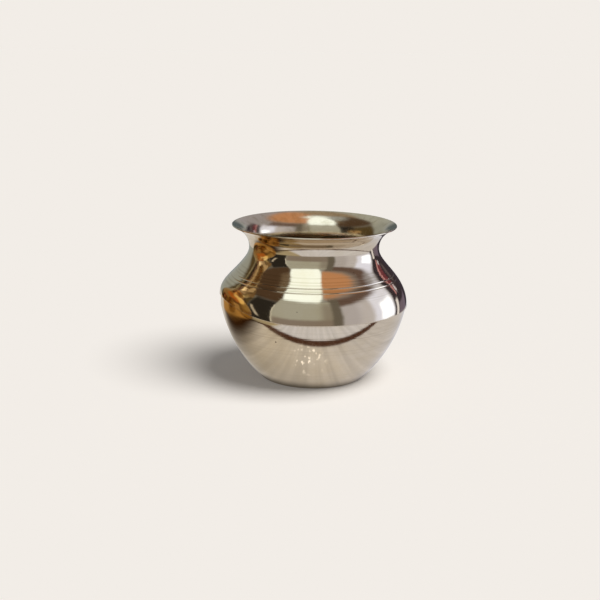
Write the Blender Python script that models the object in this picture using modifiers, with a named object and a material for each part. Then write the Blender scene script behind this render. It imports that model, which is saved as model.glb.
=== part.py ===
"""A lota: a small round-bellied water pot of pale brass, spun from sheet.

The pot is three turned pieces that lap over one another and two brazed joints:
the bowl stands on a flat ring, the shoulder drops over the bowl's drawn-in edge
at the belly, and the mouth collar drops over the shoulder's edge at the neck.
Everything is round about the Z axis, with the ground at Z = 0.
"""

import math

import bpy
import numpy as np

MM = 0.001

# Sheet, and the room left for brazing metal between two lapped pieces
SHEET_THICKNESS = 1.0 * MM
JOINT_CLEARANCE = 0.25 * MM

# Bowl: from the ground up to the belly seam
BOWL_HEIGHT = 39.3 * MM
BASE_DIAMETER = 55.7 * MM
BOWL_SIDE_RADIUS = 72.5 * MM
BASE_CORNER_RADIUS = 1.8 * MM
STANDING_RING_WIDTH = 5.0 * MM
BASE_DISH_DEPTH = 0.6 * MM
BASE_DISH_SLOPE_WIDTH = 2.0 * MM
BELLY_SEAM_STEP = 0.6 * MM
BELLY_LAP = 4.0 * MM

# Shoulder: from the belly seam up to the joint in the neck
BELLY_DIAMETER = 100.0 * MM
SHOULDER_HEIGHT = 27.7 * MM
BELLY_LEAN = math.radians(2.0)
BELLY_FULLNESS = 16.0 * MM
NECK_FULLNESS = 9.0 * MM
SHOULDER_EDGE_RADIUS = 0.4 * MM
NECK_LAP = 1.6 * MM

# Two fine lines turned into the shoulder, measured up from the belly seam
LOWER_LINE_HEIGHT = 15.1 * MM
LINE_SPACING = 2.15 * MM
LINE_WIDTH = 0.6 * MM
LINE_DEPTH = 0.2 * MM

# Mouth collar: from the joint up past the narrowest point of the neck to the flared mouth, with a thinned lip
NECK_DIAMETER = 68.6 * MM
MOUTH_DIAMETER = 86.2 * MM
COLLAR_FOOT_HEIGHT = 2.8 * MM
FLARE_HEIGHT = 11.5 * MM
FLARE_LEAN = math.radians(68.4)
FLARE_FULLNESS = 9.2 * MM
NECK_CURL = 1.8 * MM
LIP_THICKNESS = 0.7 * MM

# Brazing fillets inside the two joints
BELLY_BRAZE_LEG = 1.2 * MM
NECK_BRAZE_LEG = 0.8 * MM
BRAZE_HOLLOW = 0.15 * MM

# Fineness of the turned surfaces
TURN_STEPS = 60
BOWL_SIDE_POINTS = 9
BASE_CORNER_POINTS = 4
BODY_POINTS = 16
SHOULDER_EDGE_POINTS = 3
FLARE_POINTS = 11
LIP_POINTS = 3
WELD_DISTANCE = 0.000001
SHARP_ANGLE = math.radians(35.0)

# Finishes, as linear colours
PALE_BRASS_COLOUR = (0.70, 0.60, 0.45)
PALE_BRASS_ROUGHNESS = 0.12
BRAZE_COLOUR = (0.62, 0.44, 0.19)
BRAZE_ROUGHNESS = 0.35


def radius_at(path, height):
    """Radius of a path that only ever goes down, at a height."""
    return float(np.interp(height, path[::-1, 1], path[::-1, 0]))


def arc(centre, radius, start, end, count):
    """Points on a circular arc in the half section, both ends included."""
    angles = np.linspace(start, end, count)
    return np.column_stack((centre[0] + radius * np.cos(angles), centre[1] + radius * np.sin(angles)))


def offset_inward(path, thickness):
    """Path moved into the metal by a thickness, for a path that runs down the outside of a wall."""
    directions = np.diff(path, axis=0)
    directions /= np.linalg.norm(directions, axis=1, keepdims=True)
    normals = np.column_stack((directions[:, 1], -directions[:, 0]))
    before = np.vstack((normals[:1], normals))
    after = np.vstack((normals, normals[-1:]))
    mitre = (before + after) / (1.0 + np.sum(before * after, axis=1, keepdims=True))
    return path + mitre * np.reshape(thickness, (-1, 1))


def cubic(start, start_handle, end_handle, end, shares):
    """Points on a cubic curve at shares of its run; a handle is the step from an end to its control point."""
    t = shares[:, None]
    start_control = np.add(start, start_handle)
    end_control = np.add(end, end_handle)
    return (
        (1 - t) ** 3 * start
        + 3 * t * (1 - t) ** 2 * start_control
        + 3 * t**2 * (1 - t) * end_control
        + t**3 * end
    )


def stretch(path, top, bottom):
    """Part of a path that only ever goes down, with no point nearer to its ends than the sheet is thick."""
    between = path[(path[:, 1] < top - SHEET_THICKNESS) & (path[:, 1] > bottom + SHEET_THICKNESS)]
    return np.vstack(((radius_at(path, top), top), between, (radius_at(path, bottom), bottom)))


def body_curve():
    """Outside from the upright narrowest point of the neck to the belly seam, where it leans a little."""
    neck = np.array((NECK_DIAMETER / 2, SHOULDER_HEIGHT + COLLAR_FOOT_HEIGHT))
    seam = np.array((BELLY_DIAMETER / 2, 0.0))
    seam_handle = (-BELLY_FULLNESS * math.sin(BELLY_LEAN), BELLY_FULLNESS * math.cos(BELLY_LEAN))
    return cubic(neck, (0.0, -NECK_FULLNESS), seam_handle, seam, np.linspace(0.0, 1.0, BODY_POINTS))


def shoulder_curve():
    """Outside of the shoulder from the joint in the neck down to the belly seam."""
    return stretch(body_curve(), SHOULDER_HEIGHT - JOINT_CLEARANCE, 0.0)


def collar_walls():
    """Outside and inside of the mouth collar from the lip down to the joint, heights above the joint."""
    lip = np.array((MOUTH_DIAMETER / 2, COLLAR_FOOT_HEIGHT + FLARE_HEIGHT))
    neck = np.array((NECK_DIAMETER / 2, COLLAR_FOOT_HEIGHT))
    lip_handle = (-FLARE_FULLNESS * math.sin(FLARE_LEAN), -FLARE_FULLNESS * math.cos(FLARE_LEAN))
    neck_handle = (0.0, NECK_CURL)
    flare = cubic(lip, lip_handle, neck_handle, neck, np.linspace(0.0, 1.0, FLARE_POINTS))
    foot = stretch(body_curve(), SHOULDER_HEIGHT + COLLAR_FOOT_HEIGHT, SHOULDER_HEIGHT)[1:]
    foot -= (0.0, SHOULDER_HEIGHT)
    outside = np.vstack((flare, foot))
    thinned = np.linspace(LIP_THICKNESS, SHEET_THICKNESS, len(flare))
    inside = offset_inward(outside, np.append(thinned, np.full(len(foot), SHEET_THICKNESS)))
    inside[-1] = (outside[-1, 0] - SHEET_THICKNESS, 0.0)
    return outside, inside


def bowl_side_centre(top, foot):
    """Centre of the bowl's side arc, which passes through two points and bulges outwards."""
    chord = top - foot
    half = np.linalg.norm(chord) / 2
    inward = np.array((-chord[1], chord[0])) / (2 * half)
    return (top + foot) / 2 + inward * math.sqrt(BOWL_SIDE_RADIUS**2 - half**2)


def bowl_outline():
    """Half section of the bowl: spigot, seam ledge, side, base corner, standing ring and dished middle."""
    shoulder_inside = offset_inward(shoulder_curve(), SHEET_THICKNESS)
    lap_heights = (BELLY_LAP, BELLY_LAP / 2, 0.0)
    spigot = [(radius_at(shoulder_inside, z) - JOINT_CLEARANCE, BOWL_HEIGHT + z) for z in lap_heights]
    ledge = BOWL_HEIGHT - JOINT_CLEARANCE
    spigot_foot = (spigot[-1][0], ledge)

    top = np.array((BELLY_DIAMETER / 2 - BELLY_SEAM_STEP, ledge))
    foot = np.array((BASE_DIAMETER / 2, 0.0))
    centre = bowl_side_centre(top, foot)
    corner_rise = centre[1] - BASE_CORNER_RADIUS
    corner_reach = math.sqrt((BOWL_SIDE_RADIUS - BASE_CORNER_RADIUS) ** 2 - corner_rise**2)
    corner = np.array((centre[0] + corner_reach, BASE_CORNER_RADIUS))
    side_start = math.atan2(top[1] - centre[1], top[0] - centre[0])
    side_end = math.atan2(-corner_rise, corner_reach)
    side = arc(centre, BOWL_SIDE_RADIUS, side_start, side_end, BOWL_SIDE_POINTS)
    base_corner = arc(corner, BASE_CORNER_RADIUS, side_end, -math.pi / 2, BASE_CORNER_POINTS)[1:]

    ring_inside = corner[0] - STANDING_RING_WIDTH
    dish = [
        (ring_inside, 0.0),
        (ring_inside - BASE_DISH_SLOPE_WIDTH, BASE_DISH_DEPTH),
        (0.0, BASE_DISH_DEPTH),
    ]
    outside = np.vstack((spigot, spigot_foot, side, base_corner, dish))
    inside = offset_inward(outside, SHEET_THICKNESS)
    return np.vstack((inside[::-1], outside))


def cut_line(path, height):
    """Path with one V-shaped turned line cut into it at a height."""
    upper = height + LINE_WIDTH / 2
    lower = height - LINE_WIDTH / 2
    lips = np.array([(radius_at(path, z), z) for z in (upper, lower)])
    floor = offset_inward(lips, LINE_DEPTH).mean(axis=0)
    above = path[path[:, 1] > upper]
    below = path[path[:, 1] < lower]
    return np.vstack((above, lips[0], floor, lips[1], below))


def shoulder_outline():
    """Half section of the shoulder: neck spigot, neck ledge, slope with its lines, and rounded belly edge."""
    collar_inside = collar_walls()[1]
    lap_heights = (NECK_LAP, NECK_LAP / 2, 0.0)
    spigot = [(radius_at(collar_inside, z) - JOINT_CLEARANCE, SHOULDER_HEIGHT + z) for z in lap_heights]
    spigot.append((spigot[-1][0], SHOULDER_HEIGHT - JOINT_CLEARANCE))
    curve = shoulder_curve()
    inside = offset_inward(np.vstack((spigot, curve)), SHEET_THICKNESS)
    inside[-1] = (BELLY_DIAMETER / 2 - SHEET_THICKNESS, 0.0)
    for line_height in (LOWER_LINE_HEIGHT + LINE_SPACING, LOWER_LINE_HEIGHT):
        curve = cut_line(curve, line_height)
    edge_centre = (BELLY_DIAMETER / 2 - SHOULDER_EDGE_RADIUS, SHOULDER_EDGE_RADIUS)
    edge = arc(edge_centre, SHOULDER_EDGE_RADIUS, 0.0, -math.pi / 2, SHOULDER_EDGE_POINTS)
    return np.vstack((spigot, curve[:-1], edge, inside[::-1]))


def collar_outline():
    """Half section of the mouth collar: foot at the joint, flare thinning to the lip, and round lip edge."""
    outside, inside = collar_walls()
    middle = (outside[0] + inside[0]) / 2
    across = outside[0] - inside[0]
    nose_start = math.atan2(-across[1], -across[0])
    nose = arc(middle, LIP_THICKNESS / 2, nose_start, nose_start - math.pi, LIP_POINTS + 2)[1:-1]
    return np.vstack((outside, inside[::-1], nose))


def braze_outline(wall, seat, leg):
    """Half section of a brazing fillet lying on a seat against the inside of a wall, its face drawn in."""
    bottom = seat + JOINT_CLEARANCE
    top = bottom + leg
    corner_radius = radius_at(wall, bottom) - JOINT_CLEARANCE
    top_radius = radius_at(wall, top) - JOINT_CLEARANCE
    toe = np.array((corner_radius - leg, bottom))
    head = np.array((top_radius, top))
    corner = np.array((corner_radius, bottom))
    towards_corner = corner - (toe + head) / 2
    hollow = (toe + head) / 2 + towards_corner * BRAZE_HOLLOW / np.linalg.norm(towards_corner)
    return np.vstack((head, corner, toe, hollow))


def metal(name, colour, roughness):
    """Plain metal finish."""
    material = bpy.data.materials.new(name)
    material.use_nodes = True
    shader = material.node_tree.nodes["Principled BSDF"]
    shader.inputs["Base Color"].default_value = (*colour, 1.0)
    shader.inputs["Metallic"].default_value = 1.0
    shader.inputs["Roughness"].default_value = roughness
    return material


def turn(name, outline, seat_height, finish, pot):
    """Turn a half section round the Z axis into a closed piece standing at its seat height.

    An outline that starts and ends on the axis stays open there; any other is a closed ring.
    """
    count = len(outline)
    edges = [(index, index + 1) for index in range(count - 1)]
    if outline[0][0] > WELD_DISTANCE:
        edges.append((count - 1, 0))
    profile = bpy.data.meshes.new(name + "_profile")
    profile.from_pydata([(radius, 0.0, height) for radius, height in outline], edges, [])
    piece = bpy.data.objects.new(name, profile)
    pot.users_collection[0].objects.link(piece)

    turning = piece.modifiers.new("turning", "SCREW")
    turning.axis = "Z"
    turning.steps = TURN_STEPS
    turning.render_steps = TURN_STEPS
    turning.use_merge_vertices = True
    turning.merge_threshold = WELD_DISTANCE
    turned = bpy.data.meshes.new_from_object(piece.evaluated_get(bpy.context.evaluated_depsgraph_get()))
    piece.modifiers.remove(turning)
    piece.data = turned
    bpy.data.meshes.remove(profile)

    turned.name = name
    turned.shade_smooth()
    turned.set_sharp_from_angle(angle=SHARP_ANGLE)
    turned.materials.append(finish)
    piece.location.z = seat_height
    piece.parent = pot


def main():
    """Build the pot from the ground up."""
    for leftover in list(bpy.data.objects):
        bpy.data.objects.remove(leftover)
    collection = bpy.data.collections.new("lota")
    bpy.context.scene.collection.children.link(collection)
    pot = bpy.data.objects.new("pot_axis", None)
    collection.objects.link(pot)

    pale_brass = metal("polished_pale_brass", PALE_BRASS_COLOUR, PALE_BRASS_ROUGHNESS)
    braze = metal("brazing_brass", BRAZE_COLOUR, BRAZE_ROUGHNESS)
    joint_height = BOWL_HEIGHT + SHOULDER_HEIGHT
    shoulder_inside = offset_inward(shoulder_curve(), SHEET_THICKNESS)
    collar_inside = collar_walls()[1]

    turn("bowl", bowl_outline(), 0.0, pale_brass, pot)
    turn("shoulder", shoulder_outline(), BOWL_HEIGHT, pale_brass, pot)
    turn("mouth_collar", collar_outline(), joint_height, pale_brass, pot)
    turn("belly_braze", braze_outline(shoulder_inside, BELLY_LAP, BELLY_BRAZE_LEG), BOWL_HEIGHT, braze, pot)
    turn("neck_braze", braze_outline(collar_inside, NECK_LAP, NECK_BRAZE_LEG), joint_height, braze, pot)


main()
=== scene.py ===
"""The looks of a small lota: pale brass sheet, spun and buffed to a mirror, on a pale studio floor.

Three turned sheets lap over one another (bowl, shoulder and mouth collar), and two rings of brazing
metal close the joints inside. Half sections are drawn in millimetres as (radius, height) and turned
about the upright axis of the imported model, so every piece stands where its solid stands.
"""

from __future__ import annotations

import logging
import math
from collections.abc import Callable
from dataclasses import dataclass, field
from enum import Enum
from functools import partial
from typing import Any

import bpy
import numpy as np
from mathutils import Matrix, Vector

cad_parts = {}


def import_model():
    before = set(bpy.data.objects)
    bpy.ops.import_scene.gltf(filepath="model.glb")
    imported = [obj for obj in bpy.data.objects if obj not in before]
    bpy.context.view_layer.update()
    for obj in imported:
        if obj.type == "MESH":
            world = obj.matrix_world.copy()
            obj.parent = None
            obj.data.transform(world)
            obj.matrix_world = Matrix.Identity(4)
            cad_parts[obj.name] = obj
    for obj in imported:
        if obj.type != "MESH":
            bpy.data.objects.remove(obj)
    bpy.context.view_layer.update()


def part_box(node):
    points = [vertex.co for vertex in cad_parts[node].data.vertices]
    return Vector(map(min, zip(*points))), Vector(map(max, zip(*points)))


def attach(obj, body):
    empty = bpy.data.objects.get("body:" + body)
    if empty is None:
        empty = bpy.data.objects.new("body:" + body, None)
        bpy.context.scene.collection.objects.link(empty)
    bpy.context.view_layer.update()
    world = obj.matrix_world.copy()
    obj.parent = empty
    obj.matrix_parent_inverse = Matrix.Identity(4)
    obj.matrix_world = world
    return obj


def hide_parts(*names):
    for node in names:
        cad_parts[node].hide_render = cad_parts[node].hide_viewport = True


LOG = logging.getLogger("lota")

MM = 0.001
PER_MM = 1000.0
WELD_DISTANCE = 0.000002
SHARP_ANGLE = math.radians(40.0)
HALF_TURN = 180.0
ORIGIN = (0.0, 0.0, 0.0)
WHITE = "#FFFFFF"

Pair = tuple[float, float]
Point = tuple[float, float, float]
Socket = bpy.types.NodeSocket
Adder = Callable[..., bpy.types.NodeOutputs]

# Noise runs from 0 to 1 about its middle
NOISE_MIDDLE = 0.5
NOISE_ROUGHNESS = 0.6
EASED = {"interpolation_type": "SMOOTHSTEP"}

# A ray that has met no matt surface has a diffuse depth below this
ONE_BOUNCE = 0.5

# Socket numbers of the colour mix node, whose names repeat for each kind of data
MIX_FACTOR = 0
MIX_FIRST = 6
MIX_SECOND = 7
MIX_RESULT = 2


class Slot(Enum):
    """Material slots of the record."""

    POLISHED_BRASS = "polished_brass"
    BRAZING_METAL = "brazing_metal"


def linear(hex_colour: str, level: float = 1.0) -> tuple[float, ...]:
    """Turn an sRGB hex colour into linear RGBA.

    Args:
        hex_colour: colour as #RRGGBB.
        level: brightness that the linear colour is multiplied by.

    Returns:
        Red, green, blue and full alpha.
    """
    channels = [int(hex_colour[place : place + 2], 16) / 255 for place in (1, 3, 5)]
    curve = [value / 12.92 if value <= 0.04045 else ((value + 0.055) / 1.055) ** 2.4 for value in channels]
    return (curve[0] * level, curve[1] * level, curve[2] * level, 1.0)


def feed(node: bpy.types.Node, inputs: dict[str | int, Any]) -> None:
    """Give a node's inputs their values or links.

    Args:
        node: the node.
        inputs: value, hex colour or feeding socket of each input, by the input's name or number.
    """
    for key, source in inputs.items():
        if isinstance(source, Socket):
            node.id_data.links.new(source, node.inputs[key])
        else:
            node.inputs[key].default_value = linear(source) if isinstance(source, str) else source


def add_node(
    tree: bpy.types.NodeTree, kind: str, *inputs: Any, named: dict | None = None, **settings: Any
) -> bpy.types.NodeOutputs:
    """Add a node with its settings, and give its inputs their values or links.

    Args:
        tree: node tree that takes the node.
        kind: Blender's name for the kind of node, without its ShaderNode.
        inputs: what feeds each of the node's first inputs, in their order.
        named: what feeds other inputs, by their name or number.
        settings: attributes of the node, such as its operation.

    Returns:
        The new node's outputs.
    """
    node = tree.nodes.new("ShaderNode" + kind)
    for name, value in settings.items():
        setattr(node, name, value)
    feed(node, dict(enumerate(inputs)) | (named or {}))
    return node.outputs


def layered(add: Adder, base: Any, *layers: tuple[Any, Any]) -> Socket:
    """Paint layers over a base colour.

    Args:
        add: adds a node to the tree, as add_node does.
        base: colour, or its socket, under the layers.
        layers: for each layer, how far it covers what is under it, from 0 to 1, and its colour.

    Returns:
        Socket of the painted colour.
    """
    for cover, colour in layers:
        named = {MIX_FACTOR: cover, MIX_FIRST: base, MIX_SECOND: colour}
        base = add("Mix", named=named, data_type="RGBA")[MIX_RESULT]
    return base


def place_in_mm(add: Adder) -> Socket:
    """Give the Object coordinates in millimetres."""
    place = add("TexCoord")["Object"]
    return add("VectorMath", place, named={"Scale": PER_MM}, operation="SCALE")[0]


def seen_in_metal(add: Adder) -> Socket:
    """Tell a ray that shows the eye a reflection from light that the metal throws down.

    Args:
        add: adds a node to the tree.

    Returns:
        Socket of 1 for such a ray and 0 for any other.
    """
    ray = add("LightPath")
    first = add("Math", ray["Diffuse Depth"], ONE_BOUNCE, operation="LESS_THAN")[0]
    return add("Math", ray["Is Glossy Ray"], first, operation="MULTIPLY")[0]


def new_material(name: str) -> tuple[bpy.types.Material, Adder, bpy.types.Node]:
    """Start a material with a principled shader.

    Args:
        name: name of the material.

    Returns:
        The material, what adds a node to it, and its principled shader.
    """
    material = bpy.data.materials.new(name)
    material.use_nodes = True
    tree = material.node_tree
    return material, partial(add_node, tree), tree.nodes["Principled BSDF"]


def arc(centre: np.ndarray, radius: float, start: float, end: float, count: int) -> np.ndarray:
    """Points on a circular arc in the half section, from a start to an end angle in radians."""
    angles = np.linspace(start, end, count)
    return np.column_stack((centre[0] + radius * np.cos(angles), centre[1] + radius * np.sin(angles)))


def cubic(start: np.ndarray, start_handle: Any, end_handle: Any, end: np.ndarray, count: int) -> np.ndarray:
    """Points on a cubic curve, each handle being the step from its end to its control point.

    Args:
        start: first point.
        start_handle: step from the first point to its control point.
        end_handle: step from the last point to its control point.
        end: last point.
        count: number of points, both ends included.

    Returns:
        One row of radius and height for each point.
    """
    t = np.linspace(0.0, 1.0, count)[:, None]
    first = np.add(start, start_handle)
    last = np.add(end, end_handle)
    return (1 - t) ** 3 * start + 3 * t * (1 - t) ** 2 * first + 3 * t**2 * (1 - t) * last + t**3 * end


def moved_inward(path: np.ndarray, thickness: float | np.ndarray) -> np.ndarray:
    """Path moved into the metal, for a path that runs down the outside of a wall.

    Args:
        path: points of the outside.
        thickness: depth below the outside, the same all along or one for each point.

    Returns:
        The inside, point for point.
    """
    steps = np.diff(path, axis=0)
    steps /= np.linalg.norm(steps, axis=1, keepdims=True)
    normals = np.column_stack((steps[:, 1], -steps[:, 0]))
    before = np.vstack((normals[:1], normals))
    after = np.vstack((normals, normals[-1:]))
    mitre = (before + after) / (1.0 + np.sum(before * after, axis=1, keepdims=True))
    return path + mitre * np.reshape(thickness, (-1, 1))


def radius_at(path: np.ndarray, height: float) -> float:
    """Radius of a path that only goes down, at a height."""
    return float(np.interp(height, path[::-1, 1], path[::-1, 0]))


def stretch(path: np.ndarray, top: float, bottom: float, clear: float) -> np.ndarray:
    """Part of a path that only goes down, with a point at each end and the others clear of the ends."""
    between = path[(path[:, 1] < top - clear) & (path[:, 1] > bottom + clear)]
    return np.vstack(((radius_at(path, top), top), between, (radius_at(path, bottom), bottom)))


def turned(name: str, section: np.ndarray, steps: int) -> bpy.types.Object:
    """Draw a half section by extruding a point, and spin it about the upright axis.

    Args:
        name: name of the new object.
        section: points of the half section in millimetres, the last one the same as the first on a ring.
        steps: number of steps round the axis.

    Returns:
        The turned object, at the origin with its place in its mesh.
    """
    points = section * MM
    bpy.ops.object.select_all(action="DESELECT")
    bpy.ops.mesh.primitive_plane_add(size=MM, location=(points[0, 0], 0.0, points[0, 1]))
    piece = bpy.context.object
    piece.name = name
    piece.data.name = name
    bpy.ops.object.transform_apply(location=True, rotation=True, scale=True)
    bpy.ops.object.mode_set(mode="EDIT")
    bpy.ops.mesh.select_all(action="SELECT")
    bpy.ops.mesh.merge(type="CENTER")
    for step in np.diff(points, axis=0):
        bpy.ops.mesh.extrude_vertices_move(TRANSFORM_OT_translate={"value": (step[0], 0.0, step[1])})
    bpy.ops.mesh.select_all(action="SELECT")
    bpy.ops.mesh.spin(steps=steps, angle=math.tau, center=ORIGIN, axis=(0.0, 0.0, 1.0))
    bpy.ops.mesh.select_all(action="SELECT")
    bpy.ops.mesh.remove_doubles(threshold=WELD_DISTANCE)
    bpy.ops.mesh.normals_make_consistent(inside=False)
    bpy.ops.object.mode_set(mode="OBJECT")
    return piece


@dataclass(frozen=True)
class SpunBrass:
    """Pale high-tin brass, spun from sheet on a lathe and buffed to a mirror.

    The eye sees a straw-grey mirror. Rings from the lathe tool catch the light and draw each reflection
    out along the slope, wiping leaves faint streaks down the wall, buffing leaves hair scratches round
    the pot, and a few pits stay dark. The inside was only scoured: it is duller, yellower and stained.
    Real rings and scratches are finer than a pixel, so they are drawn as coarse as they need to show.
    """

    name: str
    polish_colour: str = "#DDCEB6"
    tarnish_colour: str = "#D8C7AA"
    # Colour of the stains inside, and of the painted shade along the lathe rings
    stain_and_shade_colour: str = "#8A7850"
    pit_colour: str = "#2E2117"
    roughness: float = 0.065
    tarnish_roughness: float = 0.04
    inside_roughness: float = 0.09
    inside_facing: Pair = (0.02, -0.08)
    anisotropy: float = 0.55
    anisotropic_turn: float = 0.25
    patch_mm: float = 16.0
    patch_detail: float = 4.0
    patch_limits: Pair = (0.42, 0.72)
    stain_mm: float = 4.0
    stain_detail: float = 5.0
    stain_limits: Pair = (0.5, 0.75)
    stain_share: float = 0.35
    ring_spacing_mm: float = 1.1
    ring_detail: float = 2.0
    ring_limits: Pair = (0.5, 0.68)
    ring_depth_mm: float = 0.004
    ring_shade: float = 0.05
    mark_heights_mm: Pair = (49.5, 62.5)
    mark_gain: float = 0.0
    wipe_radius_mm: float = 50.0
    wipe_width_mm: float = 2.6
    wipe_drift_per_mm: float = 0.02
    wipe_detail: float = 2.0
    wipe_depth_mm: float = 0.006
    scratch_length_mm: float = 14.0
    scratch_width_mm: float = 0.35
    scratch_detail: float = 3.0
    scratch_depth_mm: float = 0.0008
    pit_spacing_mm: float = 4.0
    pit_radius_mm: float = 0.35
    pit_share: float = 0.1
    deep_pits_mm: tuple[Point, ...] = ()
    deep_pit_radius_mm: float = 0.5

    def material(self) -> bpy.types.Material:
        """Build the finish on Object coordinates, in millimetres.

        Returns:
            The new material.
        """
        material, add, shader = new_material(self.name)
        place = place_in_mm(add)
        axes = add("SeparateXYZ", place)
        flat = add("CombineXYZ", axes[0], axes[1])[0]
        radius = add("VectorMath", flat, operation="LENGTH")["Value"]
        outward = add("VectorMath", flat, operation="NORMALIZE")[0]
        section = add("CombineXYZ", radius, axes[2])[0]
        normal = add("TexCoord")["Normal"]
        facing = add("VectorMath", outward, normal, operation="DOT_PRODUCT")["Value"]
        inside = add("MapRange", facing, *self.inside_facing)[0]

        streaks = {"Scale": self.wipe_radius_mm / self.wipe_width_mm}
        round_way = add("VectorMath", outward, named=streaks, operation="SCALE")[0]
        drop = add("Mapping", named={"Vector": place, "Scale": (0.0, 0.0, self.wipe_drift_per_mm)})[0]
        wiped_way = add("VectorMath", round_way, drop, operation="ADD")[0]
        scratch_scale = (1 / self.scratch_length_mm, 1 / self.scratch_length_mm, 1 / self.scratch_width_mm)
        buffed_way = add("Mapping", named={"Vector": place, "Scale": scratch_scale})[0]
        noises = []
        for where, scale, detail in (
            (section, 1 / self.ring_spacing_mm, self.ring_detail),
            (place, 1 / self.patch_mm, self.patch_detail),
            (place, 1 / self.stain_mm, self.stain_detail),
            (wiped_way, 1.0, self.wipe_detail),
            (buffed_way, 1.0, self.scratch_detail),
        ):
            named = {"Vector": where, "Scale": scale, "Detail": detail, "Roughness": NOISE_ROUGHNESS}
            noises.append(add("TexNoise", named=named)[0])
        rings, patches, stains, wipes, scratches = noises

        marked = self.marked(add, axes[2])
        gain = add("Math", marked, self.mark_gain, 1.0, operation="MULTIPLY_ADD")[0]
        grooves = add("Math", rings, gain, operation="MULTIPLY")[0]
        # Painted shade: along the lathe rings the colour darkens towards the stain and shade colour, most in
        # the tool-marked band
        shade = add("Math", gain, self.ring_shade, operation="MULTIPLY")[0]
        shaded = add("MapRange", rings, *self.ring_limits, 0.0, shade)[0]
        dulled = add("MapRange", patches, *self.patch_limits)[0]
        stained = add("MapRange", stains, *self.stain_limits, 0.0, self.stain_share)[0]
        stained = add("Math", stained, inside, operation="MULTIPLY")[0]
        colour = layered(
            add,
            self.polish_colour,
            (dulled, self.tarnish_colour),
            (stained, self.stain_and_shade_colour),
            (shaded, self.stain_and_shade_colour),
            (self.pitted(add, place), self.pit_colour),
        )
        rough: Any = self.roughness
        for dull, added in ((dulled, self.tarnish_roughness), (inside, self.inside_roughness)):
            rough = add("Math", dull, added, rough, operation="MULTIPLY_ADD")[0]
        bumps: dict[str, Any] = {"Strength": 1.0}
        for height, depth_mm in (
            (grooves, self.ring_depth_mm),
            (wipes, self.wipe_depth_mm),
            (scratches, self.scratch_depth_mm),
        ):
            bumps |= {"Distance": depth_mm * MM, "Height": height}
            bumps["Normal"] = add("Bump", named=bumps)[0]
        looks = {
            "Metallic": 1.0,
            "Base Color": colour,
            "Roughness": rough,
            "Normal": bumps["Normal"],
            "Anisotropic": self.anisotropy,
            "Anisotropic Rotation": self.anisotropic_turn,
            "Tangent": add("Tangent", direction_type="RADIAL", axis="Z")[0],
        }
        feed(shader, looks)
        return material

    def marked(self, add: Adder, height: Socket) -> Socket:
        """Mark the heights where the lathe tool left its rings.

        Args:
            add: adds a node to the material.
            height: socket of the height, in millimetres.

        Returns:
            Socket that eases from 0 outside those heights to 1 between them.
        """
        low, high = self.mark_heights_mm
        half = (high - low) / 2
        away = add("Math", height, low + half, operation="SUBTRACT")[0]
        away = add("Math", away, operation="ABSOLUTE")[0]
        return add("MapRange", away, half, half / 2, **EASED)[0]

    def pitted(self, add: Adder, place: Socket) -> Socket:
        """Strew small pits about, and put the deep ones in their own places.

        Args:
            add: adds a node to the material.
            place: socket of the place, in millimetres.

        Returns:
            Socket of 1 in a pit and 0 elsewhere.
        """
        cells = add("TexVoronoi", named={"Vector": place, "Scale": 1 / self.pit_spacing_mm})
        reach = self.pit_radius_mm / self.pit_spacing_mm
        near = add("MapRange", cells["Distance"], reach, reach / 2)[0]
        drawn = add("SeparateColor", cells["Color"])[0]
        chosen = add("Math", drawn, self.pit_share, operation="LESS_THAN")[0]
        pitted = add("Math", near, chosen, operation="MULTIPLY")[0]
        reach = self.deep_pit_radius_mm
        for pit in self.deep_pits_mm:
            away = add("VectorMath", place, pit, operation="DISTANCE")["Value"]
            deep = add("MapRange", away, reach, reach / 2)[0]
            pitted = add("Math", pitted, deep, operation="MAXIMUM")[0]
        return pitted


@dataclass(frozen=True)
class BrazingBrass:
    """Brazing brass, melted into the joint and left as it ran.

    The eye sees a dull brown metal, nearly black in patches where flux burned on; the dark brown is also
    painted shade for the shadowed hollow inside the neck.
    """

    name: str = "brazing_brass_as_run"
    # Painted shade: the brazing brass is darkened to a near-black brown for the shade inside the neck
    metal_and_shade_colour: str = "#463620"
    stain_and_shade_colour: str = "#1E140C"
    stain_patch_mm: float = 3.0
    stain_detail: float = 3.0
    stain_limits: Pair = (0.45, 0.75)
    roughness_range: Pair = (0.32, 0.6)

    def material(self) -> bpy.types.Material:
        """Build the finish on Object coordinates, in millimetres.

        Returns:
            The new material.
        """
        material, add, shader = new_material(self.name)
        noise = {
            "Vector": place_in_mm(add),
            "Scale": 1 / self.stain_patch_mm,
            "Detail": self.stain_detail,
            "Roughness": NOISE_ROUGHNESS,
        }
        stains = add("TexNoise", named=noise)[0]
        stained = add("MapRange", stains, *self.stain_limits)[0]
        looks = {
            "Metallic": 1.0,
            # Painted shade: the dark metal and its near-black patches stand in for the shade round the
            # neck's inside
            "Base Color": layered(add, self.metal_and_shade_colour, (stained, self.stain_and_shade_colour)),
            "Roughness": add("MapRange", stained, 0.0, 1.0, *self.roughness_range)[0],
        }
        feed(shader, looks)
        return material


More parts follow.
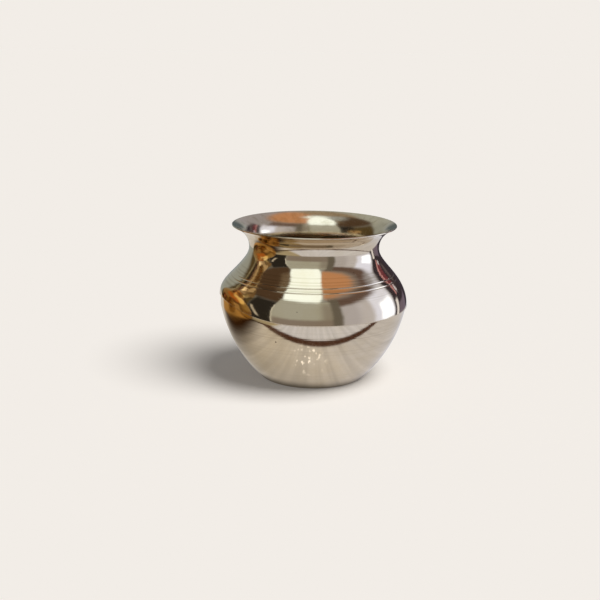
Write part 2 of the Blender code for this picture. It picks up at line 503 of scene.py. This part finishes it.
@dataclass
class PotFrame:
    """Sizes of the pot, in millimetres, that more than one turned piece follows.

    The heights where pieces meet and the belly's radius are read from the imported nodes.
    """

    sheet_thickness: float = 1.0
    neck_radius: float = 34.3
    neck_rise: float = 2.8
    neck_fullness: float = 9.0
    belly_fullness: float = 16.0
    belly_lean: float = math.radians(2.0)
    curve_points: int = 96
    spigot_points: int = 6
    seam_height: float = field(init=False)
    belly_radius: float = field(init=False)
    bowl_top: float = field(init=False)
    joint_height: float = field(init=False)
    neck_height: float = field(init=False)
    spigot_top: float = field(init=False)

    def __post_init__(self) -> None:
        """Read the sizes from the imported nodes' boxes."""
        shoulder_low, shoulder_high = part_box("shoulder")
        self.seam_height = shoulder_low.z * PER_MM
        self.belly_radius = shoulder_high.x * PER_MM
        self.bowl_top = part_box("bowl")[1].z * PER_MM
        self.spigot_top = shoulder_high.z * PER_MM
        self.joint_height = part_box("mouth_collar")[0].z * PER_MM
        self.neck_height = self.joint_height + self.neck_rise

    def body(self) -> np.ndarray:
        """Outside of the body, upright at the narrowest point of the neck and leaning a little at the seam.

        Returns:
            Points from the neck down to the seam.
        """
        neck = np.array((self.neck_radius, self.neck_height))
        seam = np.array((self.belly_radius, self.seam_height))
        lean = np.array((-math.sin(self.belly_lean), math.cos(self.belly_lean)))
        return cubic(neck, (0.0, -self.neck_fullness), self.belly_fullness * lean, seam, self.curve_points)

    def spigot(self, lining: np.ndarray, gap: float, top: float, bottom: float) -> np.ndarray:
        """Points down the outside of a spigot, a gap inside the lining that it follows."""
        heights = np.linspace(top, bottom, self.spigot_points)
        return np.array([(radius_at(lining, height) - gap, height) for height in heights])


@dataclass
class UnevenSeam:
    """The belly seam, joined by hand: on the left the two halves meet a few millimetres too high.

    The bowl slides up its own outline there, so the pot keeps its shape.
    """

    height: float
    outline: np.ndarray
    centre_mm: Pair = (-49.0, -14.0)
    rise_mm: float = 5.6
    reach_mm: float = 53.0
    depth_mm: float = 20.0
    swell_radius: float = 70.0

    def share(self, points: np.ndarray) -> np.ndarray:
        """Share of the rise that points of the sheet take.

        Args:
            points: places of the points, in millimetres.

        Returns:
            Share of each point, from 0 to 1.
        """
        away = np.hypot(points[:, 0] - self.centre_mm[0], points[:, 1] - self.centre_mm[1])
        across = np.clip(1.0 - away / self.reach_mm, 0.0, 1.0)
        along = np.clip(1.0 - np.abs(points[:, 2] - self.height) / self.depth_mm, 0.0, 1.0)
        return across**2 * (3.0 - 2.0 * across) * along**2 * (3.0 - 2.0 * along)

    def push(self, piece: bpy.types.Object, kind: str, weights: np.ndarray, **settings: Any) -> None:
        """Apply a modifier that moves each point of a piece by a weight of its own.

        Args:
            piece: the piece, which is the active object.
            kind: Blender's name for the kind of modifier.
            weights: weight of each point, from 0 to 1.
            settings: attributes of the modifier.
        """
        group = piece.vertex_groups.new(name="uneven_seam")
        for index, weight in enumerate(weights):
            group.add([index], float(weight), "REPLACE")
        modifier = piece.modifiers.new("uneven_seam", kind)
        modifier.vertex_group = group.name
        for name, value in settings.items():
            setattr(modifier, name, value)
        bpy.ops.object.modifier_apply(modifier=modifier.name)
        piece.vertex_groups.clear()

    def lift(self, piece: bpy.types.Object) -> None:
        """Lift the sheet round the seam, easing out to the sides, upwards and downwards.

        Args:
            piece: the piece, which is the active object.
        """
        points = np.array([vertex.co for vertex in piece.data.vertices]) * PER_MM
        rises = self.share(points)
        radii, heights = self.outline.T
        before = np.interp(points[:, 2], heights, radii)
        after = np.interp(points[:, 2] + self.rise_mm * rises, heights, radii)
        swells = (after - before) / (self.swell_radius - np.hypot(points[:, 0], points[:, 1]))
        self.push(piece, "DISPLACE", rises, direction="Z", mid_level=0.0, strength=self.rise_mm * MM)
        outward = {"cast_type": "CYLINDER", "factor": 1.0, "use_radius_as_size": False}
        self.push(piece, "CAST", swells, size=self.swell_radius * MM, **outward)


@dataclass
class TurnedPiece:
    """A piece of the pot that is turned about the upright axis from a half section in millimetres."""

    name: str
    slot: Slot
    finish: SpunBrass | BrazingBrass
    frame: PotFrame
    turn_steps: int = 288
    waver_size_mm: float = 30.0
    waver_height_mm: float = 0.05

    def half_section(self) -> np.ndarray:
        """Points of the piece's half section, the last one the same as the first on a ring."""
        raise NotImplementedError

    def build(self) -> bpy.types.Object:
        """Turn the half section and give it a hand-worked waver.

        Returns:
            The finished piece, at the origin with its place in its mesh.
        """
        piece = turned(self.name, self.half_section(), self.turn_steps)
        self.waver(piece)
        bpy.ops.object.shade_smooth_by_angle(angle=SHARP_ANGLE)
        return piece

    def waver(self, piece: bpy.types.Object) -> None:
        """Push the surface in and out by a few hundredths of a millimetre, as spinning by hand leaves it.

        Args:
            piece: the piece, which is the active object.
        """
        swell = bpy.data.textures.new(self.name + "_swell", "CLOUDS")
        swell.noise_scale = self.waver_size_mm * MM
        swell.noise_depth = 0
        modifier = piece.modifiers.new("hand_waver", "DISPLACE")
        modifier.texture = swell
        modifier.texture_coords = "LOCAL"
        modifier.strength = self.waver_height_mm * MM
        bpy.ops.object.modifier_apply(modifier=modifier.name)
        bpy.data.textures.remove(swell)

    def dress(self, piece: bpy.types.Object) -> None:
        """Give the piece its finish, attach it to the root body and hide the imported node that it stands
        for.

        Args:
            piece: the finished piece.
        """
        piece.data.materials.clear()
        piece.data.materials.append(self.finish.material())
        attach(piece, "root")
        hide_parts(self.name)


@dataclass
class Shoulder(TurnedPiece):
    """The upper half of the body, from the spigot inside the neck down to the edge at the belly seam."""

    collar: MouthCollar = field(kw_only=True)
    joint_gap: float = 0.02
    edge_radius: float = 0.5
    edge_points: int = 8
    line_heights: Pair = (56.55, 54.4)
    line_width: float = 0.6
    line_depth: float = 0.1
    line_points: int = 9

    def outside(self, clear: float = 0.1) -> np.ndarray:
        """Outside from the joint in the neck down to the seam, its points clear of the ends."""
        top = self.frame.joint_height - self.joint_gap
        return stretch(self.frame.body(), top, self.frame.seam_height, clear)

    def lining(self) -> np.ndarray:
        """Inside of the shoulder below the neck."""
        return moved_inward(self.outside(self.frame.sheet_thickness), self.frame.sheet_thickness)

    def with_line(self, path: np.ndarray, height: float) -> np.ndarray:
        """Cut one round-bottomed turned line into a path.

        Args:
            path: points of the outside.
            height: height of the middle of the line.

        Returns:
            The path with the line in it.
        """
        heights = np.linspace(height + self.line_width / 2, height - self.line_width / 2, self.line_points)
        course = np.array([(radius_at(path, z), z) for z in heights])
        turn = np.linspace(0.0, math.tau, self.line_points)
        groove = moved_inward(course, self.line_depth * (1 - np.cos(turn)) / 2)
        above = path[path[:, 1] > heights[0]]
        below = path[path[:, 1] < heights[-1]]
        return np.vstack((above, groove, below))

    def half_section(self) -> np.ndarray:
        """Spigot, neck ledge, slope with its two lines, rounded belly edge and the inside back up.

        Returns:
            Points of the ring, the last one the same as the first.
        """
        frame = self.frame
        sheet = frame.sheet_thickness
        spigot = frame.spigot(self.collar.walls()[1], self.joint_gap, frame.spigot_top, frame.joint_height)
        spigot = np.vstack((spigot, (spigot[-1, 0], frame.joint_height - self.joint_gap)))
        inside = moved_inward(np.vstack((spigot, self.outside(sheet))), sheet)
        inside[-1] = (frame.belly_radius - sheet, frame.seam_height)
        curve = self.outside()
        for height in self.line_heights:
            curve = self.with_line(curve, height)
        centre = np.array((frame.belly_radius - self.edge_radius, frame.seam_height + self.edge_radius))
        edge = arc(centre, self.edge_radius, 0.0, -math.pi / 2, self.edge_points)
        outside = curve[curve[:, 1] > centre[1]]
        ring = np.vstack((spigot, outside, edge, inside[::-1]))
        return np.vstack((ring, ring[:1]))


@dataclass
class Bowl(TurnedPiece):
    """The lower half of the body, from the spigot inside the belly down to the dished base."""

    shoulder: Shoulder = field(kw_only=True)
    joint_gap: float = 0.06
    seam_step: float = 0.6
    base_radius: float = 27.85
    side_radius: float = 72.5
    side_points: int = 56
    corner_radius: float = 1.8
    corner_points: int = 10
    ring_width: float = 5.0
    dish_depth: float = 0.6
    dish_slope_width: float = 3.0
    dish_slope_points: int = 9
    dish_points: int = 12

    def side_centre(self, top: np.ndarray, foot: np.ndarray) -> np.ndarray:
        """Centre of the side's arc, which bulges outwards.

        Args:
            top: upper end of the arc.
            foot: lower end of the arc.

        Returns:
            Radius and height of the centre.
        """
        chord = top - foot
        half = np.linalg.norm(chord) / 2
        inward = np.array((-chord[1], chord[0])) / (2 * half)
        return (top + foot) / 2 + inward * math.sqrt(self.side_radius**2 - half**2)

    def side_ends(self) -> tuple[np.ndarray, np.ndarray]:
        """Top of the side, just under the shoulder's edge, and its foot."""
        top = (self.frame.belly_radius - self.seam_step, self.frame.seam_height - self.joint_gap)
        return np.array(top), np.array((self.base_radius, 0.0))

    def outline(self) -> np.ndarray:
        """Outside of the side.

        Returns:
            Points from its foot to its top.
        """
        top, foot = self.side_ends()
        centre = self.side_centre(top, foot)
        heights = np.linspace(foot[1], top[1], self.side_points)
        radii = centre[0] + np.sqrt(self.side_radius**2 - (heights - centre[1]) ** 2)
        return np.column_stack((radii, heights))

    def half_section(self) -> np.ndarray:
        """Inside from the axis up to the spigot, then the outside down to the axis again.

        Returns:
            Points from the axis round to the axis.
        """
        frame = self.frame
        spigot = frame.spigot(self.shoulder.lining(), self.joint_gap, frame.bowl_top, frame.seam_height)
        top, foot = self.side_ends()
        spigot_foot = np.array(((spigot[-1, 0], top[1]),))
        centre = self.side_centre(top, foot)
        rise = centre[1] - self.corner_radius
        reach = math.sqrt((self.side_radius - self.corner_radius) ** 2 - rise**2)
        corner = np.array((centre[0] + reach, self.corner_radius))
        start = math.atan2(top[1] - centre[1], top[0] - centre[0])
        end = math.atan2(-rise, reach)
        side = arc(centre, self.side_radius, start, end, self.side_points)
        base_corner = arc(corner, self.corner_radius, end, -math.pi / 2, self.corner_points)[1:]
        ring_inside = np.array((corner[0] - self.ring_width, 0.0))
        dish_edge = ring_inside + (-self.dish_slope_width, self.dish_depth)
        ease = self.dish_slope_width / 2
        slope = cubic(ring_inside, (-ease, 0.0), (ease, 0.0), dish_edge, self.dish_slope_points)
        dish = np.linspace(dish_edge, (0.0, self.dish_depth), self.dish_points)[1:]
        outside = np.vstack((spigot, spigot_foot, side, base_corner, slope, dish))
        inside = moved_inward(outside, frame.sheet_thickness)
        return np.vstack((inside[::-1], outside))


@dataclass
class MouthCollar(TurnedPiece):
    """The neck and the flared mouth, thinning to a rounded lip."""

    lip_thickness: float = 0.7
    lip_radius: float = 43.1
    lip_height: float = 11.5
    flare_lean: float = math.radians(68.4)
    flare_fullness: float = 9.2
    neck_curl: float = 1.8
    flare_points: int = 48
    foot_clear: float = 0.4
    nose_points: int = 11

    def walls(self) -> tuple[np.ndarray, np.ndarray]:
        """Both sides of the wall from the lip, past the upright neck, to the joint flush with the shoulder.

        Returns:
            Points of the outside, and of the inside.
        """
        frame = self.frame
        sheet = frame.sheet_thickness
        lip = np.array((self.lip_radius, frame.neck_height + self.lip_height))
        neck = np.array((frame.neck_radius, frame.neck_height))
        lean = np.array((math.sin(self.flare_lean), math.cos(self.flare_lean)))
        flare = cubic(lip, -self.flare_fullness * lean, (0.0, self.neck_curl), neck, self.flare_points)
        foot = stretch(frame.body(), frame.neck_height, frame.joint_height, self.foot_clear)[1:]
        outside = np.vstack((flare, foot))
        thinned = np.linspace(self.lip_thickness, sheet, self.flare_points)
        inside = moved_inward(outside, np.append(thinned, np.full(len(foot), sheet)))
        inside[-1] = (outside[-1, 0] - sheet, frame.joint_height)
        return outside, inside

    def half_section(self) -> np.ndarray:
        """Outside down, inside up, and the lip's round nose back to the start.

        Returns:
            Points of the ring, the last one the same as the first.
        """
        outside, inside = self.walls()
        middle = (outside[0] + inside[0]) / 2
        across = inside[0] - outside[0]
        start = math.atan2(across[1], across[0])
        nose = arc(middle, self.lip_thickness / 2, start, start - math.pi, self.nose_points)[1:]
        return np.vstack((outside, inside[::-1], nose))


@dataclass
class BrazeRing(TurnedPiece):
    """A fillet of brazing metal lying on a spigot's edge against the inside of the wall above it."""

    wall: np.ndarray = field(kw_only=True)
    seat: float = field(kw_only=True)
    leg: float = 1.2
    hollow: float = 0.15
    seat_gap: float = 0.05
    face_points: int = 7

    def half_section(self) -> np.ndarray:
        """Head on the wall, corner, toe on the seat, and the hollow face between toe and head.

        Returns:
            Points of the ring, the last one the same as the first.
        """
        bottom = self.seat + self.seat_gap
        corner = np.array((radius_at(self.wall, bottom) - self.seat_gap, bottom))
        head = np.array((radius_at(self.wall, bottom + self.leg) - self.seat_gap, bottom + self.leg))
        toe = corner - (self.leg, 0.0)
        share = np.linspace(0.0, 1.0, self.face_points)[:, None]
        inward = corner - (toe + head) / 2
        sag = 4 * share * (1 - share) * self.hollow * inward / np.linalg.norm(inward)
        face = toe + (head - toe) * share + sag
        return np.vstack((head, corner, face))


@dataclass(frozen=True)
class Panel:
    """One wall, card or lamp of the studio, as the polished metal mirrors it.

    Bearings are in degrees from the camera's side, positive to the right, and run past 180 behind the
    pot; heights are degrees above the floor. Softness is the width of a blurred edge in degrees. A lean
    moves the left or right edge by that many degrees for each degree of height.
    """

    name: str
    colour: str
    bearings: Pair
    heights: Pair
    softness: float
    level: float = 1.0
    leans: Pair = (0.0, 0.0)


@dataclass(frozen=True)
class GoldReflector:
    """A pot-shaped gold reflector on the left, which only the metal sees."""

    centre_mm: Pair = (-141.0, 3.5)
    base_radius: float = 52.0
    neck_radius: float = 38.0
    mouth_radius: float = 50.0
    neck_height: float = 92.0
    height: float = 120.0
    mouth_handle: Pair = (-8.0, -10.0)
    flare_handle: Pair = (0.0, 14.0)
    neck_handle: Pair = (2.0, -18.0)
    foot_handle: Pair = (46.0, 45.0)
    flare_points: int = 16
    body_points: int = 40
    turn_steps: int = 96
    colour: str = "#D8A458"
    pale_colour: str = "#DDBB84"
    pale_heights_mm: Pair = (62.0, 95.0)
    roughness: float = 0.18
    fold_mm: float = 34.0
    fold_depth_mm: float = 2.5

    def half_section(self) -> np.ndarray:
        """Top, flare and side, with a flat top and base.

        Returns:
            Points from the middle of the top down to the middle of the base.
        """
        mouth = np.array((self.mouth_radius, self.height))
        neck = np.array((self.neck_radius, self.neck_height))
        foot = np.array((self.base_radius, 0.0))
        flare = cubic(mouth, self.mouth_handle, self.flare_handle, neck, self.flare_points)
        body = cubic(neck, self.neck_handle, self.foot_handle, foot, self.body_points)
        return np.vstack(((0.0, self.height), flare, body[1:], (0.0, 0.0)))

    def stand(self) -> None:
        """Turn the reflector, move it to its place and hide it from everything but the metal."""
        reflector = turned("gold_reflector", self.half_section(), self.turn_steps)
        bpy.ops.object.mode_set(mode="EDIT")
        bpy.ops.mesh.select_all(action="SELECT")
        bpy.ops.transform.translate(value=(self.centre_mm[0] * MM, self.centre_mm[1] * MM, 0.0))
        bpy.ops.object.mode_set(mode="OBJECT")
        bpy.ops.object.shade_smooth_by_angle(angle=SHARP_ANGLE)
        reflector.data.materials.append(self.material())
        reflector.visible_camera = False
        reflector.visible_diffuse = False
        reflector.visible_shadow = False

    def material(self) -> bpy.types.Material:
        """Build creased gold foil, paler towards the top, which the metal mirrors as broken warm glints.

        Returns:
            The new material.
        """
        material, add, shader = new_material("gold_foil")
        place = place_in_mm(add)
        height = add("SeparateXYZ", place)[2]
        paled = add("MapRange", height, *self.pale_heights_mm)[0]
        folds = add("TexNoise", named={"Vector": place, "Scale": 1 / self.fold_mm})[0]
        looks = {
            "Metallic": 1.0,
            "Base Color": layered(add, self.colour, (paled, self.pale_colour)),
            "Roughness": self.roughness,
            "Normal": add("Bump", named={"Distance": self.fold_depth_mm * MM, "Height": folds})[0],
        }
        feed(shader, looks)
        return material


@dataclass(frozen=True)
class MirroredTable:
    """What the polished metal mirrors below the horizon: a pale board, its dark front edge and the table.

    The eye sees only the even pale floor. The board has faint grain towards the camera, a shade on its
    left where the gold reflector stands, and a few flecks of light thrown down by the pot. Past the
    table's rim the metal mirrors the walls.
    """

    warm_colour: str = "#DDD8D1"
    cool_colour: str = "#DDDEE7"
    cool_from_mm: Pair = (-50.0, 60.0)
    edge_colour: str = "#573A2B"
    table_colour: str = "#E7EBFA"
    side_colour: str = "#BCB195"
    side_from_mm: Pair = (-55.0, -75.0)
    gold_shade_colour: str = "#4C3A2C"
    gold_shade_reach_mm: float = 104.0
    even_share: float = 0.66
    shaded_reach_mm: Pair = (27.0, 33.0)
    board_centre_mm: Point = (-28.0, 208.0, 0.0)
    board_radius_mm: float = 279.5
    edge_width_mm: float = 9.0
    edge_blur_mm: float = 1.2
    table_centre_mm: Point = (0.0, 60.0, 0.0)
    table_radius_mm: float = 250.0
    back_edge_way: Point = (0.66, 0.75, 0.0)
    back_edge_mm: float = 200.0
    rim_blur_mm: float = 10.0
    grain_mm: float = 6.0
    grain_stretch: float = 20.0
    grain_detail: float = 3.0
    grain_limits: Pair = (0.3, 0.7)
    grain_levels: Pair = (0.9, 1.08)
    fleck_centre_mm: Point = (-3.0, -53.0, 0.0)
    fleck_mm: float = 4.5
    fleck_limits: Pair = (0.58, 0.66)
    fleck_level: float = 0.9
    fleck_reach_mm: Pair = (7.0, 19.0)

    def paint(self, add: Adder, reflector: GoldReflector) -> tuple[Socket, ...]:
        """Add the nodes of the mirrored table.

        Args:
            add: adds a node to the floor's material.
            reflector: the gold reflector that shades the board.

        Returns:
            Colour of the table, light of the flecks, how far the point lies past the rim, from 0 to 1, and
            the share of even light, which grows away from the pot's own shade.
        """
        place = place_in_mm(add)
        to_right = add("SeparateXYZ", place)[0]
        gold_centre = (*reflector.centre_mm, 0.0)
        centres = (self.board_centre_mm, self.table_centre_mm, gold_centre, self.fleck_centre_mm, ORIGIN)
        from_board, from_table, from_gold, from_flecks, from_pot = (
            add("VectorMath", place, centre, operation="DISTANCE")["Value"] for centre in centres
        )
        backward = add("VectorMath", place, self.back_edge_way, operation="DOT_PRODUCT")["Value"]

        half = self.edge_width_mm / 2
        on_edge, past_edge, past_rim, past_back = (
            add("MapRange", reach, edge - blur, edge + blur, **EASED)[0]
            for reach, edge, blur in (
                (from_board, self.board_radius_mm - half, self.edge_blur_mm),
                (from_board, self.board_radius_mm + half, self.edge_blur_mm),
                (from_table, self.table_radius_mm, self.rim_blur_mm),
                (backward, self.back_edge_mm, self.rim_blur_mm),
            )
        )
        cooled = add("MapRange", to_right, *self.cool_from_mm, **EASED)[0]
        sided = add("MapRange", to_right, *self.side_from_mm, **EASED)[0]
        table = layered(add, self.table_colour, (sided, self.side_colour))
        board = ((cooled, self.cool_colour), (on_edge, self.edge_colour))
        colour = layered(add, self.warm_colour, *board, (past_edge, table))

        grain_scale = (1 / self.grain_mm, 1 / (self.grain_stretch * self.grain_mm), 0.0)
        grain_place = add("Mapping", named={"Vector": place, "Scale": grain_scale})[0]
        grain_noise = {"Vector": grain_place, "Scale": 1.0, "Detail": self.grain_detail}
        grain = add("TexNoise", named=grain_noise)[0]
        light = add("MapRange", grain, *self.grain_limits, *self.grain_levels, **EASED)[0]
        colour = add("VectorMath", colour, named={"Scale": light}, operation="SCALE")[0]
        gold_reach = (reflector.base_radius, self.gold_shade_reach_mm)
        by_gold = add("MapRange", from_gold, *gold_reach, 1.0, 0.0, **EASED)[0]
        shade = layered(add, WHITE, (by_gold, self.gold_shade_colour))
        colour = add("VectorMath", colour, shade, operation="MULTIPLY")[0]

        flecks = add("TexNoise", named={"Vector": place, "Scale": 1 / self.fleck_mm})[0]
        flecks = add("MapRange", flecks, *self.fleck_limits, 0.0, self.fleck_level, **EASED)[0]
        near = add("MapRange", from_flecks, *self.fleck_reach_mm, 1.0, 0.0, **EASED)[0]
        flecks = add("Math", flecks, near, operation="MULTIPLY")[0]
        past = add("Math", past_rim, past_back, operation="MAXIMUM")[0]
        even = add("MapRange", from_pot, *self.shaded_reach_mm, 0.0, self.even_share, **EASED)[0]
        return colour, flecks, past, even


@dataclass
class Studio:
    """Pale floor, soft key light from the right, and the walls and cards round the pot."""

    floor_colour: str = "#F2EDE7"
    floor_radius: float = 60.0
    floor_sides: int = 96
    floor_glow: float = 0.16
    thrown_share: float = 0.5
    key_bearing: float = 63.0
    key_height: float = 60.0
    key_spread: float = 40.0
    key_share: float = 0.77
    table: MirroredTable = MirroredTable()
    reflector: GoldReflector = GoldReflector()
    back_colour: str = "#AAB1B5"
    warp_scale: float = 7.0
    warp_detail: float = 2.0
    warp_degrees: float = 2.5
    panels: tuple[Panel, ...] = (
        Panel("ceiling", "#E7F7FF", (-200, 200), (80, 100), 10, level=1.5),
        Panel("high wall, back left", "#B4BAB6", (160, 225), (20, 54), 12),
        Panel("brown ceiling, back", "#A0907A", (150, 222), (54, 80), 8),
        Panel("high wall, back right", "#A8A8B4", (95, 176), (18, 56), 12),
        Panel("dark back", "#5A6569", (166, 192), (-60, 15), 8),
        Panel("timber ceiling", "#D29C74", (18, 168), (52, 81), 10),
        Panel("brown beam", "#6E5C56", (20, 104), (31, 51), 12),
        Panel("brown wall, upper left", "#564434", (-142, -40), (36, 64), 10),
        Panel("brown wall, its top", "#7A6A58", (-76, -44), (54, 68), 8),
        Panel("grey wall, far left", "#A2A8A4", (-165, -118), (-60, 30), 12),
        Panel("olive wall, left", "#5A4C30", (-134, -80), (-60, 36), 10),
        Panel("black flag, left", "#302D29", (-82, -48), (-60, 38), 5),
        Panel("gap in the flag", "#C4BCAD", (-72, -67.5), (-4, 17), 3, leans=(-0.45, -0.45)),
        Panel("front wall", "#B8BCB6", (-49, 30), (-60, 46), 3),
        Panel("front wall, right side", "#9E9B95", (11, 30), (-60, 42), 12),
        Panel("front wall, low", "#938B86", (-49, 30), (-60, 4), 8),
        Panel("front wall edge", "#EDEDE5", (-50.2, -48.8), (-8, 32), 0.8),
        Panel("softbox", "#E7F7FF", (-11.3, -12.5), (45, 100), 6, level=1.7, leans=(-0.75, 0.5)),
        Panel("dark corner", "#736F69", (24, 38), (-60, 50), 6),
        Panel("right wall", "#C4C5D2", (37, 80), (-60, 34), 7),
        Panel("right wall, lit", "#D4D6E5", (60, 118), (-60, 33), 14),
        Panel("window", "#D5DFFF", (80, 118), (-14, 34.5), 10, level=1.5),
        Panel("window, open", "#D8E6FF", (92, 114), (-10, 18), 8, level=2.9),
        Panel("dark curtain", "#3E3740", (118, 170), (-60, 31), 5, leans=(0.1, -0.8)),
        Panel("curtain lining", "#7C424C", (131, 140), (12, 31), 4),
        Panel("curtain lining, edge", "#E0A8B0", (130.5, 133), (8, 31), 1.5),
        Panel("curtain, lighter fold", "#6B6166", (144, 149), (9, 30), 4),
        Panel("slit of light", "#E6E6FA", (135, 138.5), (8, 14), 2),
        Panel("curtain foot", "#7A7083", (130, 152), (-60, -2), 4),
        Panel("gap by the curtain", "#E6E8F4", (122.5, 128), (-60, 6), 4, level=1.35),
    )

    def floor(self) -> None:
        """Lay the matt pale floor, which the metal mirrors as the table."""
        bpy.ops.object.select_all(action="DESELECT")
        sizes = {"vertices": self.floor_sides, "radius": self.floor_radius}
        bpy.ops.mesh.primitive_circle_add(fill_type="NGON", **sizes)
        floor = bpy.context.object
        floor.name = "studio_floor"
        floor.data.materials.append(self.paper())

    def paper(self) -> bpy.types.Material:
        """Build the floor: matt paper that glows a little for the eye, and the table for the metal.

        Returns:
            The new material.
        """
        material, add, shader = new_material("matt_pale_paper")
        # Painted shade: light that the metal throws back onto the floor meets the paper at thrown_share of
        # its colour, which darkens the floor's shadow round the pot's foot
        thrown = add("LightPath")["Is Glossy Ray"]
        paper = layered(add, self.floor_colour, (thrown, linear(self.floor_colour, self.thrown_share)))
        looks = {
            "Base Color": paper,
            "Roughness": 1.0,
            "Specular IOR Level": 0.0,
            "Emission Color": paper,
            "Emission Strength": self.floor_glow,
        }
        feed(shader, looks)
        colour, flecks, past, evenness = self.table.paint(add, self.reflector)
        board = add("BsdfDiffuse", colour)[0]
        even = add("Emission", colour)[0]
        board = add("MixShader", evenness, board, even)[0]
        glow = add("Emission", named={"Strength": flecks})[0]
        board = add("AddShader", board, glow)[0]
        beyond = add("BsdfTransparent")[0]
        mirrored = add("MixShader", past, board, beyond)[0]
        surface = add("MixShader", seen_in_metal(add), shader.outputs[0], mirrored)[0]
        feed(material.node_tree.nodes["Material Output"], {"Surface": surface})
        return material

    def key_light(self) -> None:
        """Hang a wide soft key light on the right, which the metal sees only as the bright window panel."""
        lamp = bpy.data.lights.new("window_light", "SUN")
        lamp.angle = math.radians(self.key_spread)
        turn = math.radians(self.key_bearing)
        rise = math.radians(self.key_height)
        lamp.energy = self.key_share * math.pi / math.sin(rise)
        key = bpy.data.objects.new("window_light", lamp)
        way = Vector((math.sin(turn) * math.cos(rise), -math.cos(turn) * math.cos(rise), math.sin(rise)))
        key.rotation_euler = way.to_track_quat("Z", "Y").to_euler()
        key.visible_glossy = False
        bpy.context.scene.collection.objects.link(key)

    def world(self) -> None:
        """Surround the pot: one even pale fill, the floor's colour for the eye, and panels for the metal."""
        world = bpy.data.worlds.new("studio_walls")
        bpy.context.scene.world = world
        world.use_nodes = True
        world.cycles.sampling_method = "NONE"
        add = partial(add_node, world.node_tree)
        way = add("TexCoord")["Generated"]
        axes = add("SeparateXYZ", way)
        towards = add("Math", axes[1], -1.0, operation="MULTIPLY")[0]
        turn = add("Math", axes[0], towards, operation="ARCTAN2")[0]
        rise = add("Math", axes[2], operation="ARCSINE")[0]
        noise = {"Vector": way, "Scale": self.warp_scale, "Detail": self.warp_detail}
        drift = add("SeparateXYZ", add("TexNoise", named=noise)[1])
        places = []
        for angle, shift in ((turn, drift[0]), (rise, drift[1])):
            degrees = add("Math", angle, operation="DEGREES")[0]
            centred = add("Math", shift, NOISE_MIDDLE, operation="SUBTRACT")[0]
            places.append(add("Math", centred, self.warp_degrees, degrees, operation="MULTIPLY_ADD")[0])

        cards = [(self.cover(add, card, *places), linear(card.colour, card.level)) for card in self.panels]
        mirrored = layered(add, self.back_colour, *cards)
        fill = linear(WHITE, 1.0 - self.key_share - self.floor_glow)
        by_eye = add("LightPath")["Is Camera Ray"]
        seen = layered(add, fill, (seen_in_metal(add), mirrored), (by_eye, self.floor_colour))
        feed(world.node_tree.nodes["Background"], {"Color": seen})

    def cover(self, add: Adder, panel: Panel, bearing: Socket, height: Socket) -> Socket:
        """Work out how far a panel covers what is behind it.

        Args:
            add: adds a node to the world.
            panel: the panel.
            bearing: bearing of the ray, in degrees.
            height: height of the ray, in degrees.

        Returns:
            Socket of the cover, from 0 to 1.
        """
        half = panel.softness / 2
        middle = sum(panel.bearings) / 2
        away = add("Math", bearing, middle, operation="SUBTRACT")[0]
        away = add("Math", away, HALF_TURN, -HALF_TURN, operation="WRAP")[0]
        cover: Any = 1.0
        for socket, limits, leans in (
            (away, [limit - middle for limit in panel.bearings], panel.leans),
            (height, panel.heights, (0.0, 0.0)),
        ):
            for limit, lean, sign in zip(limits, leans, (half, -half)):
                line = add("Math", height, -lean, socket, operation="MULTIPLY_ADD")[0]
                edge = add("MapRange", line, limit - sign, limit + sign, **EASED)[0]
                cover = add("Math", edge, cover, operation="MULTIPLY")[0]
        return cover


@dataclass(frozen=True)
class ShotCamera:
    """Camera of the photograph: half a metre off, a little above the rim and looking slightly down."""

    position: Point = (0.0, -0.51756, 0.17084)
    focal_length_mm: float = 59.711
    sensor_width_mm: float = 36.0
    pitch_down: float = math.radians(14.1507)
    turn_left: float = math.radians(0.7834)
    roll: float = math.radians(0.7167)

    def place(self) -> None:
        """Add the camera and make it the scene's own."""
        data = bpy.data.cameras.new("shot_camera")
        data.lens = self.focal_length_mm
        data.sensor_width = self.sensor_width_mm
        camera = bpy.data.objects.new("shot_camera", data)
        camera.matrix_world = (
            Matrix.Translation(self.position)
            @ Matrix.Rotation(self.turn_left, 4, "Z")
            @ Matrix.Rotation(math.pi / 2 - self.pitch_down, 4, "X")
            @ Matrix.Rotation(self.roll, 4, "Z")
        )
        bpy.context.scene.collection.objects.link(camera)
        bpy.context.scene.camera = camera


def main() -> None:
    """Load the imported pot, build and dress its pieces, and set up floor, light and camera."""
    logging.basicConfig(level=logging.INFO, format="%(name)s: %(message)s")
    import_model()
    bpy.context.scene.view_settings.view_transform = "Standard"

    frame = PotFrame()
    brass, brazing = Slot.POLISHED_BRASS, Slot.BRAZING_METAL
    plain_brass = SpunBrass("spun_pale_brass_collar")
    marked_brass = SpunBrass("spun_pale_brass_shoulder", mark_gain=8.0)
    pit_mm = (-18.3, -43.1, 29.4)
    bowl_marks = {"mark_heights_mm": (20.0, 44.0), "mark_gain": 2.0}
    pitted_brass = SpunBrass("spun_pale_brass_bowl", deep_pits_mm=(pit_mm,), **bowl_marks)
    braze = BrazingBrass()
    collar = MouthCollar("mouth_collar", brass, plain_brass, frame)
    shoulder = Shoulder("shoulder", brass, marked_brass, frame, collar=collar)
    bowl = Bowl("bowl", brass, pitted_brass, frame, shoulder=shoulder)
    on_bowl = {"wall": shoulder.lining(), "seat": frame.bowl_top}
    on_shoulder = {"wall": collar.walls()[1], "seat": frame.spigot_top}
    belly_braze = BrazeRing("belly_braze", brazing, braze, frame, **on_bowl)
    neck_braze = BrazeRing("neck_braze", brazing, braze, frame, leg=0.8, **on_shoulder)
    seam = UnevenSeam(frame.seam_height, bowl.outline())
    for part in (bowl, shoulder, collar, belly_braze, neck_braze):
        piece = part.build()
        seam.lift(piece)
        part.dress(piece)
        LOG.info("%s: %d faces", piece.name, len(piece.data.polygons))

    studio = Studio()
    studio.floor()
    studio.reflector.stand()
    studio.key_light()
    studio.world()
    ShotCamera().place()


if __name__ == "__main__":
    main()
